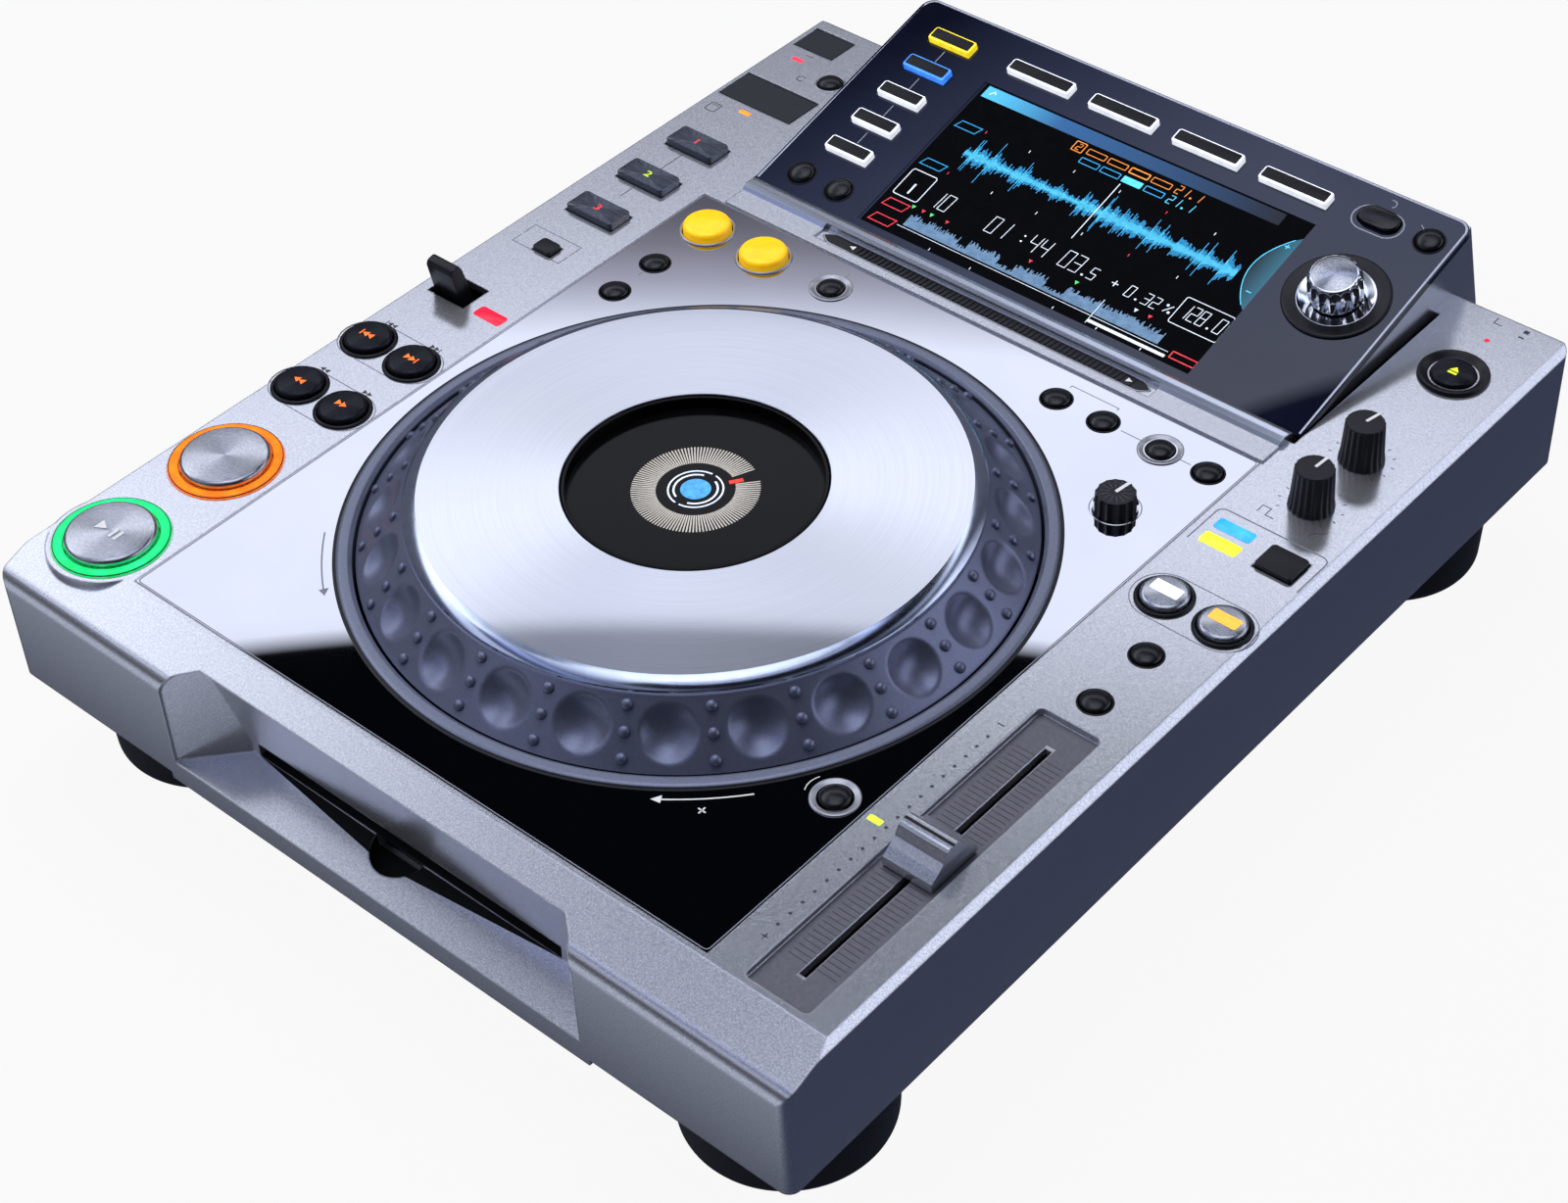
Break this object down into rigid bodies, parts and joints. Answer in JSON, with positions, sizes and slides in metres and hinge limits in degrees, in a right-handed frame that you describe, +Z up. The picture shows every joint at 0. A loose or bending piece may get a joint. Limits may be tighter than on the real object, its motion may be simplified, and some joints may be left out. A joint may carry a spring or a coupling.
{
  "type": "tabletop DJ disc player",
  "caption": "Tabletop DJ player with slot-in disc loader, large turning jog wheel, tilted display panel, lit transport buttons, rotary selector and sliding tempo fader.",
  "frame": {"origin": "under the middle of the player, on the surface that its feet stand on", "axes": "+X to the right-hand side, +Y to the back with the display and the jacks, +Z up"},
  "size_m": [0.32, 0.406, 0.1048],
  "materials": {
    "silver_paint": "satin metallic",
    "steel": "satin",
    "foot_rubber": "matte",
    "gloss_plate": "mirror gloss",
    "display_black": "gloss",
    "inner_parts": "matte",
    "dial_paint": "satin metallic",
    "jog_aluminium": "brushed with a polished edge",
    "button_silver": "brushed",
    "button_grey": "brushed",
    "button_black": "satin",
    "button_yellow": "gloss",
    "button_lit": "translucent",
    "knob_black": "matte",
    "selector_chrome": "brushed top",
    "fader_silver": "satin"
  },
  "bodies": {
    "player": {"top_cover": "silver_paint", "chassis": "steel", "feet": "foot_rubber", "center_plate": "gloss_plate", "jog_display": "display_black", "display_housing": "silver_paint", "display_panel": "display_black", "internals": "inner_parts"},
    "play_button": {"play_button": "button_silver"},
    "cue_button": {"cue_button": "button_silver"},
    "search_back": {"search_back": "button_grey"},
    "search_forward": {"search_forward": "button_grey"},
    "track_back": {"track_back": "button_grey"},
    "track_forward": {"track_forward": "button_grey"},
    "hot_cue_a": {"hot_cue_a": "button_grey"},
    "hot_cue_b": {"hot_cue_b": "button_grey"},
    "hot_cue_c": {"hot_cue_c": "button_grey"},
    "call_button": {"call_button": "button_black"},
    "usb_stop_button": {"usb_stop_button": "button_black"},
    "loop_in_button": {"loop_in_button": "button_yellow"},
    "loop_out_button": {"loop_out_button": "button_yellow"},
    "reloop_button": {"reloop_button": "button_black"},
    "loop_mode_button": {"loop_mode_button": "button_black"},
    "slip_button": {"slip_button": "button_black"},
    "call_previous_button": {"call_previous_button": "button_black"},
    "call_next_button": {"call_next_button": "button_black"},
    "delete_button": {"delete_button": "button_black"},
    "memory_button": {"memory_button": "button_black"},
    "tempo_reset_button": {"tempo_reset_button": "button_black"},
    "eject_button": {"eject_button": "button_black"},
    "jog_mode_button": {"jog_mode_button": "button_black"},
    "sync_button": {"sync_button": "button_grey"},
    "master_button": {"master_button": "button_grey"},
    "tempo_range_button": {"tempo_range_button": "button_black"},
    "master_tempo_button": {"master_tempo_button": "button_black"},
    "source_button_1": {"source_button_1": "button_lit"},
    "source_button_2": {"source_button_2": "button_lit"},
    "source_button_3": {"source_button_3": "button_lit"},
    "source_button_4": {"source_button_4": "button_lit"},
    "source_button_5": {"source_button_5": "button_lit"},
    "browse_button_1": {"browse_button_1": "button_lit"},
    "browse_button_2": {"browse_button_2": "button_lit"},
    "browse_button_3": {"browse_button_3": "button_lit"},
    "browse_button_4": {"browse_button_4": "button_lit"},
    "back_button": {"back_button": "button_black"},
    "tag_button": {"tag_button": "button_black"},
    "quantize_button": {"quantize_button": "button_black"},
    "time_mode_button": {"time_mode_button": "button_black"},
    "power_button": {"power_button": "button_black"},
    "jog_wheel": {"jog_dial": "dial_paint", "jog_plate": "jog_aluminium"},
    "touch_knob": {"touch_knob": "knob_black"},
    "release_knob": {"release_knob": "knob_black"},
    "jog_adjust_knob": {"jog_adjust_knob": "knob_black"},
    "selector_shaft": {"selector_shaft": "steel"},
    "selector_knob": {"selector_knob": "selector_chrome"},
    "tempo_fader": {"tempo_fader": "fader_silver"},
    "direction_lever": {"direction_lever": "knob_black"},
    "card_door": {"card_door": "knob_black"},
    "usb_cover": {"usb_cover": "knob_black"}
  },
  "joints": [
    {"name": "play_press", "type": "slide", "parent": "player", "child": "play_button", "axis": [0, 0, -1], "range_m": [0, 0.0008], "stiffness_N_per_m": 400, "springref_m": -0.0015},
    {"name": "cue_press", "type": "slide", "parent": "player", "child": "cue_button", "axis": [0, 0, -1], "range_m": [0, 0.0008], "stiffness_N_per_m": 400, "springref_m": -0.0015},
    {"name": "search_back_press", "type": "slide", "parent": "player", "child": "search_back", "axis": [0, 0, -1], "range_m": [0, 0.0008], "stiffness_N_per_m": 400, "springref_m": -0.0015},
    {"name": "search_forward_press", "type": "slide", "parent": "player", "child": "search_forward", "axis": [0, 0, -1], "range_m": [0, 0.0008], "stiffness_N_per_m": 400, "springref_m": -0.0015},
    {"name": "track_back_press", "type": "slide", "parent": "player", "child": "track_back", "axis": [0, 0, -1], "range_m": [0, 0.0008], "stiffness_N_per_m": 400, "springref_m": -0.0015},
    {"name": "track_forward_press", "type": "slide", "parent": "player", "child": "track_forward", "axis": [0, 0, -1], "range_m": [0, 0.0008], "stiffness_N_per_m": 400, "springref_m": -0.0015},
    {"name": "hot_cue_a_press", "type": "slide", "parent": "player", "child": "hot_cue_a", "axis": [0, 0, -1], "range_m": [0, 0.0008], "stiffness_N_per_m": 400, "springref_m": -0.0015},
    {"name": "hot_cue_b_press", "type": "slide", "parent": "player", "child": "hot_cue_b", "axis": [0, 0, -1], "range_m": [0, 0.0008], "stiffness_N_per_m": 400, "springref_m": -0.0015},
    {"name": "hot_cue_c_press", "type": "slide", "parent": "player", "child": "hot_cue_c", "axis": [0, 0, -1], "range_m": [0, 0.0008], "stiffness_N_per_m": 400, "springref_m": -0.0015},
    {"name": "call_press", "type": "slide", "parent": "player", "child": "call_button", "axis": [0, 0, -1], "range_m": [0, 0.0008], "stiffness_N_per_m": 400, "springref_m": -0.0015},
    {"name": "usb_stop_press", "type": "slide", "parent": "player", "child": "usb_stop_button", "axis": [0, 0, -1], "range_m": [0, 0.0008], "stiffness_N_per_m": 400, "springref_m": -0.0015},
    {"name": "loop_in_press", "type": "slide", "parent": "player", "child": "loop_in_button", "axis": [0, 0, -1], "range_m": [0, 0.0008], "stiffness_N_per_m": 400, "springref_m": -0.0015},
    {"name": "loop_out_press", "type": "slide", "parent": "player", "child": "loop_out_button", "axis": [0, 0, -1], "range_m": [0, 0.0008], "stiffness_N_per_m": 400, "springref_m": -0.0015},
    {"name": "reloop_press", "type": "slide", "parent": "player", "child": "reloop_button", "axis": [0, 0, -1], "range_m": [0, 0.0008], "stiffness_N_per_m": 400, "springref_m": -0.0015},
    {"name": "loop_mode_press", "type": "slide", "parent": "player", "child": "loop_mode_button", "axis": [0, 0, -1], "range_m": [0, 0.0008], "stiffness_N_per_m": 400, "springref_m": -0.0015},
    {"name": "slip_press", "type": "slide", "parent": "player", "child": "slip_button", "axis": [0, 0, -1], "range_m": [0, 0.0008], "stiffness_N_per_m": 400, "springref_m": -0.0015},
    {"name": "call_previous_press", "type": "slide", "parent": "player", "child": "call_previous_button", "axis": [0, 0, -1], "range_m": [0, 0.0008], "stiffness_N_per_m": 400, "springref_m": -0.0015},
    {"name": "call_next_press", "type": "slide", "parent": "player", "child": "call_next_button", "axis": [0, 0, -1], "range_m": [0, 0.0008], "stiffness_N_per_m": 400, "springref_m": -0.0015},
    {"name": "delete_press", "type": "slide", "parent": "player", "child": "delete_button", "axis": [0, 0, -1], "range_m": [0, 0.0008], "stiffness_N_per_m": 400, "springref_m": -0.0015},
    {"name": "memory_press", "type": "slide", "parent": "player", "child": "memory_button", "axis": [0, 0, -1], "range_m": [0, 0.0008], "stiffness_N_per_m": 400, "springref_m": -0.0015},
    {"name": "tempo_reset_press", "type": "slide", "parent": "player", "child": "tempo_reset_button", "axis": [0, 0, -1], "range_m": [0, 0.0008], "stiffness_N_per_m": 400, "springref_m": -0.0015},
    {"name": "eject_press", "type": "slide", "parent": "player", "child": "eject_button", "axis": [0, 0, -1], "range_m": [0, 0.0008], "stiffness_N_per_m": 400, "springref_m": -0.0015},
    {"name": "jog_mode_press", "type": "slide", "parent": "player", "child": "jog_mode_button", "axis": [0, 0, -1], "range_m": [0, 0.0008], "stiffness_N_per_m": 400, "springref_m": -0.0015},
    {"name": "sync_press", "type": "slide", "parent": "player", "child": "sync_button", "axis": [0, 0, -1], "range_m": [0, 0.0008], "stiffness_N_per_m": 400, "springref_m": -0.0015},
    {"name": "master_press", "type": "slide", "parent": "player", "child": "master_button", "axis": [0, 0, -1], "range_m": [0, 0.0008], "stiffness_N_per_m": 400, "springref_m": -0.0015},
    {"name": "tempo_range_press", "type": "slide", "parent": "player", "child": "tempo_range_button", "axis": [0, 0, -1], "range_m": [0, 0.0008], "stiffness_N_per_m": 400, "springref_m": -0.0015},
    {"name": "master_tempo_press", "type": "slide", "parent": "player", "child": "master_tempo_button", "axis": [0, 0, -1], "range_m": [0, 0.0008], "stiffness_N_per_m": 400, "springref_m": -0.0015},
    {"name": "source_1_press", "type": "slide", "parent": "player", "child": "source_button_1", "axis": [0, 0.2546, -0.967], "range_m": [0, 0.0008], "stiffness_N_per_m": 400, "springref_m": -0.0015},
    {"name": "source_2_press", "type": "slide", "parent": "player", "child": "source_button_2", "axis": [0, 0.2546, -0.967], "range_m": [0, 0.0008], "stiffness_N_per_m": 400, "springref_m": -0.0015},
    {"name": "source_3_press", "type": "slide", "parent": "player", "child": "source_button_3", "axis": [0, 0.2546, -0.967], "range_m": [0, 0.0008], "stiffness_N_per_m": 400, "springref_m": -0.0015},
    {"name": "source_4_press", "type": "slide", "parent": "player", "child": "source_button_4", "axis": [0, 0.2546, -0.967], "range_m": [0, 0.0008], "stiffness_N_per_m": 400, "springref_m": -0.0015},
    {"name": "source_5_press", "type": "slide", "parent": "player", "child": "source_button_5", "axis": [0, 0.2546, -0.967], "range_m": [0, 0.0008], "stiffness_N_per_m": 400, "springref_m": -0.0015},
    {"name": "browse_1_press", "type": "slide", "parent": "player", "child": "browse_button_1", "axis": [0, 0.2546, -0.967], "range_m": [0, 0.0008], "stiffness_N_per_m": 400, "springref_m": -0.0015},
    {"name": "browse_2_press", "type": "slide", "parent": "player", "child": "browse_button_2", "axis": [0, 0.2546, -0.967], "range_m": [0, 0.0008], "stiffness_N_per_m": 400, "springref_m": -0.0015},
    {"name": "browse_3_press", "type": "slide", "parent": "player", "child": "browse_button_3", "axis": [0, 0.2546, -0.967], "range_m": [0, 0.0008], "stiffness_N_per_m": 400, "springref_m": -0.0015},
    {"name": "browse_4_press", "type": "slide", "parent": "player", "child": "browse_button_4", "axis": [0, 0.2546, -0.967], "range_m": [0, 0.0008], "stiffness_N_per_m": 400, "springref_m": -0.0015},
    {"name": "back_press", "type": "slide", "parent": "player", "child": "back_button", "axis": [0, 0.2546, -0.967], "range_m": [0, 0.0008], "stiffness_N_per_m": 400, "springref_m": -0.0015},
    {"name": "tag_press", "type": "slide", "parent": "player", "child": "tag_button", "axis": [0, 0.2546, -0.967], "range_m": [0, 0.0008], "stiffness_N_per_m": 400, "springref_m": -0.0015},
    {"name": "quantize_press", "type": "slide", "parent": "player", "child": "quantize_button", "axis": [0, 0.2546, -0.967], "range_m": [0, 0.0008], "stiffness_N_per_m": 400, "springref_m": -0.0015},
    {"name": "time_mode_press", "type": "slide", "parent": "player", "child": "time_mode_button", "axis": [0, 0.2546, -0.967], "range_m": [0, 0.0008], "stiffness_N_per_m": 400, "springref_m": -0.0015},
    {"name": "power_press", "type": "slide", "parent": "player", "child": "power_button", "axis": [0, -1, 0], "range_m": [0, 0.0015], "stiffness_N_per_m": 400, "springref_m": -0.0015},
    {"name": "jog_spin", "type": "hinge", "parent": "player", "child": "jog_wheel", "pos_m": [-0.0012, -0.0577, 0.0782], "axis": [0, 0, 1], "continuous": true},
    {"name": "touch_turn", "type": "hinge", "parent": "player", "child": "touch_knob", "pos_m": [0.1382, 0.09425, 0.0782], "axis": [0, 0, -1], "range_deg": [-150, 150]},
    {"name": "release_turn", "type": "hinge", "parent": "player", "child": "release_knob", "pos_m": [0.1382, 0.06655, 0.0782], "axis": [0, 0, -1], "range_deg": [-150, 150]},
    {"name": "jog_adjust_turn", "type": "hinge", "parent": "player", "child": "jog_adjust_knob", "pos_m": [0.0926, 0.0283, 0.0782], "axis": [0, 0, -1], "range_deg": [-150, 150]},
    {"name": "selector_turn", "type": "hinge", "parent": "player", "child": "selector_shaft", "pos_m": [0.09545, 0.14314, 0.092], "axis": [0, -0.2546, 0.967], "continuous": true},
    {"name": "selector_press", "type": "slide", "parent": "selector_shaft", "child": "selector_knob", "axis": [0, 0.2546, -0.967], "range_m": [0, 0.0005], "stiffness_N_per_m": 600, "springref_m": -0.0015},
    {"name": "tempo_slide", "type": "slide", "parent": "player", "child": "tempo_fader", "axis": [0, 1, 0], "range_m": [-0.05, 0.05]},
    {"name": "direction_flip", "type": "hinge", "parent": "player", "child": "direction_lever", "pos_m": [-0.1466, -0.0184, 0.0712], "axis": [-1, 0, 0], "range_deg": [0, 26]},
    {"name": "card_door_open", "type": "hinge", "parent": "player", "child": "card_door", "pos_m": [-0.1392, 0.13945, 0.07745], "axis": [-1, 0, 0], "range_deg": [0, 95]},
    {"name": "usb_cover_open", "type": "hinge", "parent": "player", "child": "usb_cover", "pos_m": [-0.1465, 0.17765, 0.07745], "axis": [-1, 0, 0], "range_deg": [0, 95]}
  ]
}
